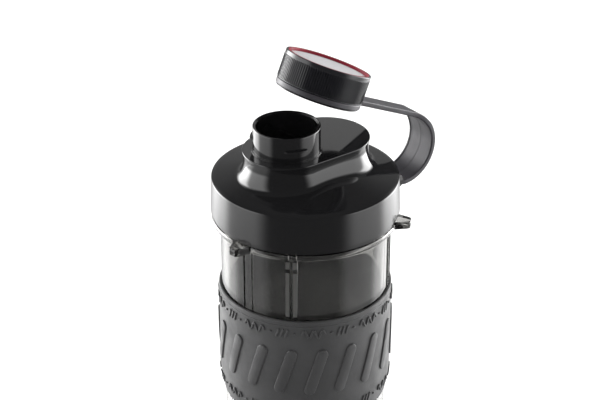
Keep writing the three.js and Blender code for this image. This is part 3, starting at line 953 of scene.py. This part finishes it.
# ---- strap ----
RING_LOW, RING_HIGH = 0.8, 3.3  # the strap's ring, in the cap's own heights


def make_strap_ring():
    """The strap's ring: a hoop in the cap's groove, with the tab that the arm leaves from."""
    bore_r, r = 18.9, 20.1
    corners = [
        (bore_r, 2.0, 0), (bore_r, RING_LOW, 0.2), (r, RING_LOW, 0.45), (r, RING_HIGH, 0.45),
        (bore_r, RING_HIGH, 0.2), (bore_r, 2.1, 0),
    ]
    hoop = turned("hoop", rounded(corners, 5, 0.15), SMALL)
    piece = place(join("strap_hoop", hoop, shoulder_plate()), CAP_PLACE)
    return dressed(piece, "cap_ring", "strap_rubber", "strap_ring")


def shoulder_plate():
    """The ring's tab: it leaves the hoop on a curve and ends as wide as the strap's arm."""
    half, root_r, end = STRAP_ARM_W / 2, 19.3, 21.3
    spots = [STRAP_ARM_W * k / 12 - half for k in range(13)]
    outline = [(sqrt(root_r * root_r - y * y), y) for y in spots] + [(end, half), (end, -half)]
    rings = []
    for z, inset in ((RING_LOW, 0.35), (0.92, 0.12), (1.2, 0), (2.9, 0), (3.18, 0.12), (RING_HIGH, 0.35)):
        rings.append([(x - inset if x == end else x, y * (1 - inset / half), z) for x, y in outline])
    return skin("tab", rings, sharp=50)


def strap_line():
    """Centre line of the strap, (x, z) points in three parts: by the ring, straight, round the bend."""
    tilt = radians(CAP_TILT)
    along_ring = Vector((cos(tilt), -sin(tilt)))
    up_ring = Vector((sin(tilt), cos(tilt)))
    origin = Vector((CAP_ORIGIN[0], CAP_ORIGIN[2]))
    middle = (RING_LOW + RING_HIGH) / 2
    ring_points = [origin + along_ring * s + up_ring * middle for s in (20.3, 22.0)]
    centre = Vector((BEND_X, BEND_Z))
    start = ring_points[1] + along_ring * 3
    offset = centre - start
    angle = atan2(offset.y, offset.x) + asin(BEND_R / offset.length)
    length = sqrt(offset.length_squared - BEND_R ** 2)
    along = Vector((cos(angle), sin(angle)))
    straight_part = [start + along * length * k / 12 for k in range(13)]
    top = angle + pi / 2
    steps = 64
    bend = []
    for k in range(1, steps + 1):
        a = top + (-pi / 2 - top) * k / steps
        bend.append(centre + Vector((cos(a), sin(a))) * BEND_R)
    return ring_points, straight_part, bend


def strap_half(point):
    """Half the strap's width on its centre line: slim by the cap, wide round the bend, slimmer by the pin."""
    share = ease((point.x - 60) / 10.5) if point.y > BEND_Z else 1.0
    half = (STRAP_ARM_W + (STRAP_W - STRAP_ARM_W) * share) / 2
    near_pin = ease((hypot(point.x - PIN_X, point.y - PIN_Z) - 4.8) / 1.6)
    return EYE_HALF + (half - EYE_HALF) * near_pin


def band(name, line):
    """A flat strap along an (x, z) line: rounded edges, and a lip down each side of its inner face."""
    half_t = STRAP_T / 2
    edge, lip, sink = 0.5, 0.95, 0.3
    curve = [(edge * (1 - cos(radians(a))), edge * sin(radians(a))) for a in (0, 22, 45, 68, 90)]
    rings = []
    for k, point in enumerate(line):
        before = line[max(k - 1, 0)]
        after = line[min(k + 1, len(line) - 1)]
        along = (after - before).normalized()
        out = Vector((-along.y, along.x))
        half_w = strap_half(point)
        outer = [(half_w - inset, half_t - edge + rise) for inset, rise in curve]
        outer += [(half_w * 0.5, half_t), (0, half_t)]
        inner = [(half_w - inset, -half_t + edge - rise) for inset, rise in curve]
        inner += [
            (half_w - lip, -half_t), (half_w - lip - 0.1, -half_t + sink),
            (half_w - lip - 0.5, -half_t + sink), (half_w * 0.5, -half_t + sink),
            (0.5, -half_t + sink), (0.12, -half_t + sink), (0.06, -half_t + sink + 0.08),
        ]
        lay = outer + [(-w, h) for w, h in outer[-2::-1]] + [(-w, h) for w, h in inner] + inner[::-1]
        rings.append([(point.x + out.x * h, w, point.y + out.y * h) for w, h in lay])
    return skin(name, rings, sharp=38)


def strap_eye():
    """The loop's round end, on the pin."""
    bore_r, r, half = 1.7, 3.4, EYE_HALF - 0.1
    corners = [
        (bore_r, -half, 0), (r, -half, 0.4), (r, half, 0.4), (bore_r, half, 0.2), (bore_r, 0.1 - half, 0),
    ]
    return place(turned("eye", rounded(corners, 4, 0.2), 72), PIN_PLACE)


def make_strap():
    """The strap's arm and its loop, each a skin that runs between the pieces at its two ends, attached to no
    body.
    """
    ring_points, straight_part, bend = strap_line()
    arm = band("strap_span", ring_points + straight_part[:-1])
    dressed(arm, None, "strap_rubber", "strap_arm")
    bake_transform(arm)
    by_pin = Vector((PIN_X + 0.5, BEND_Z - BEND_R))
    loop = band("strap_bend", straight_part[-2:] + bend + [by_pin])
    loop = join("strap_bend", loop, strap_eye())
    dressed(loop, None, "strap_rubber", "strap_loop")
    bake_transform(loop)


# ---- studio ----
def make_camera():
    """The picture's view: down by 28 degrees, turned 37 degrees from the part's +Y towards its +X."""
    data = bpy.data.cameras.new("camera")
    data.lens = 102.6
    data.sensor_width = 36.0
    camera = bpy.data.objects.new("camera", data)
    bpy.context.scene.collection.objects.link(camera)
    turn, pitch = radians(37.06), radians(28.01)
    away, beside, height = 0.7, 0.002457, 0.53025  # metres
    ahead = Vector((sin(turn), cos(turn), 0))
    right = Vector((cos(turn), -sin(turn), 0))
    camera.location = -ahead * away - right * beside + Vector((0, 0, height))
    view = ahead * cos(pitch) - Vector((0, 0, sin(pitch)))
    camera.rotation_euler = view.to_track_quat("-Z", "Y").to_euler()
    bpy.context.scene.camera = camera
    return ahead, right


def area_light(name, location, target, size, power):
    """A rectangular light, hidden from the camera and from reflections."""
    data = bpy.data.lights.new(name, "AREA")
    data.shape = "RECTANGLE"
    data.size, data.size_y = size
    data.energy = power
    light = bpy.data.objects.new(name, data)
    bpy.context.scene.collection.objects.link(light)
    light.location = location
    light.rotation_euler = (Vector(target) - Vector(location)).to_track_quat("-Z", "Y").to_euler()
    light.visible_camera = False
    light.visible_glossy = False
    return light


def rise_fall(x, low, full, until, end):
    """0 below low, 1 from full to until, 0 above end."""
    return ease((x - low) / (full - low)) * (1 - ease((x - until) / (end - until)))


def studio_glow(around, up):
    """Brightness of the studio in a direction: degrees round from the front, and degrees up."""
    room = 0.13
    level = rise_fall(up, -89, -45, 30, 48)
    high = ease((up + 23.4) / 5)  # 0 well below the horizon, where sides and boxes are dim, 1 above that
    sides = (0.85 + 1.9 * high) * rise_fall(around, 42, 64, 128, 150)
    boxes = (1.3 + 7.0 * high) * rise_fall(around, 98, 114, 132 + 8 * (1 - high), 150 + 16 * (1 - high))
    back = 0.2 + 0.4 * rise_fall(up, 14, 24, 34, 44) * ease((around - 164) / 10)
    behind = (back + 0.6 * ease((-up - 5) / 20)) * ease((around - 120) / 30)
    return room + level * (sides + behind) + boxes * rise_fall(up, -52, -34, 26, 40)


def glow_material():
    """Emission as strong as the mesh's glow attribute says."""
    material = bpy.data.materials.new("studio_shell")
    material.use_nodes = True
    tree = material.node_tree
    tree.nodes.clear()
    reader = add_node(material, "ShaderNodeAttribute", attribute_name="glow")
    emission = add_node(material, "ShaderNodeEmission")
    output = add_node(material, "ShaderNodeOutputMaterial")
    tree.links.new(reader.outputs["Fac"], emission.inputs["Strength"])
    tree.links.new(emission.outputs["Emission"], output.inputs["Surface"])
    material.cycles.emission_sampling = "NONE"
    return material


def make_reflections(ahead, right):
    """A far shell that only glossy surfaces see: dark in front, soft boxes at both sides, pale behind."""
    across, rows, radius = 120, 60, 2600
    points, faces, glow = [], [], []
    for k in range(rows + 1):
        up = -pi / 2 + pi * k / rows
        for i in range(across):
            turn = 2 * pi * i / across
            side = -ahead * cos(turn) + right * sin(turn)
            points.append((side * cos(up) + Vector((0, 0, sin(up)))) * radius)
            glow.append(studio_glow(abs((degrees(turn) + 180) % 360 - 180), degrees(up)))
    for k in range(rows):
        for i in range(across):
            a, b = k * across + i, k * across + (i + 1) % across
            faces.append((a, b, b + across, a + across))
    shell = new_object("studio_shell", points, faces)
    shell.data.attributes.new("glow", "FLOAT", "POINT").data.foreach_set("value", glow)
    shell.data.materials.append(glow_material())
    shell.visible_camera = False
    shell.visible_diffuse = False
    shell.visible_shadow = False
    shell.visible_transmission = False


def make_studio(ahead, right):
    """White world, pale floor, three soft lights, and the shell that glossy surfaces see."""
    world = bpy.data.worlds.new("studio")
    bpy.context.scene.world = world
    world.use_nodes = True
    background = world.node_tree.nodes["Background"]
    background.inputs["Color"].default_value = (1, 1, 1, 1)
    background.inputs["Strength"].default_value = 1.0
    world.cycles_visibility.glossy = False
    half, low = 8000, -0.3
    corners = [(-half, -half, low), (half, -half, low), (half, half, low), (-half, half, low)]
    floor = new_object("floor", corners, [(0, 1, 2, 3)])
    floor.data.materials.append(new_material("studio_floor", (0.93, 0.93, 0.93), 0.8))
    floor.visible_glossy = False
    up = Vector((0, 0, 1))
    aim = Vector((0, 0, 0.15))
    area_light("left_box", -right * 0.9 + ahead * 0.35 + up * 0.45, aim, (0.6, 0.9), 6)
    area_light("right_box", right * 0.9 + ahead * 0.35 + up * 0.45, aim, (0.6, 0.9), 6)
    area_light("back_box", ahead * 1.4 + up * 1.4, aim, (2.4, 1.2), 14)
    make_reflections(ahead, right)
    bpy.context.scene.view_settings.view_transform = "Standard"


ahead, right = make_camera()
make_studio(ahead, right)
make_jar()
make_rib_faces()
make_sleeve()
make_lid()
make_gasket()
make_screen()
make_pin()
make_cap_shell()
make_disc()
make_accent_ring()
make_cap_seal()
make_strap_ring()
make_strap()
